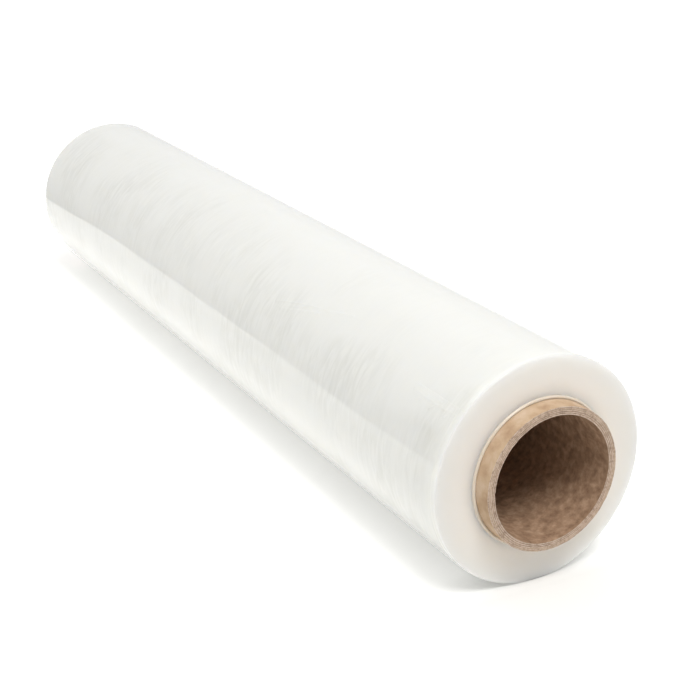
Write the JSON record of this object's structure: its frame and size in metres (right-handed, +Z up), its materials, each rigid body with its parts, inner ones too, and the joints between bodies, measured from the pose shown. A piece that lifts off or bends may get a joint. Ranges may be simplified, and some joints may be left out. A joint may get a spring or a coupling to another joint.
{
  "type": "stretch wrap roll",
  "caption": "Roll of clear stretch wrap film on a spiral-wound paper tube that stands out at both ends, for wrapping boxes and pallets by hand.",
  "frame": {"origin": "on the surface that the roll lies on, under the middle of the film", "axes": "+Y along the roll, from the end that faces the user to the far end; +Z up; +X to the right"},
  "size_m": [0.0903, 0.473, 0.0899],
  "materials": {
    "film": "glossy, clear",
    "tube_board": "matte"
  },
  "bodies": {
    "root": {"core": "tube_board", "film_roll": "film"}
  },
  "joints": []
}
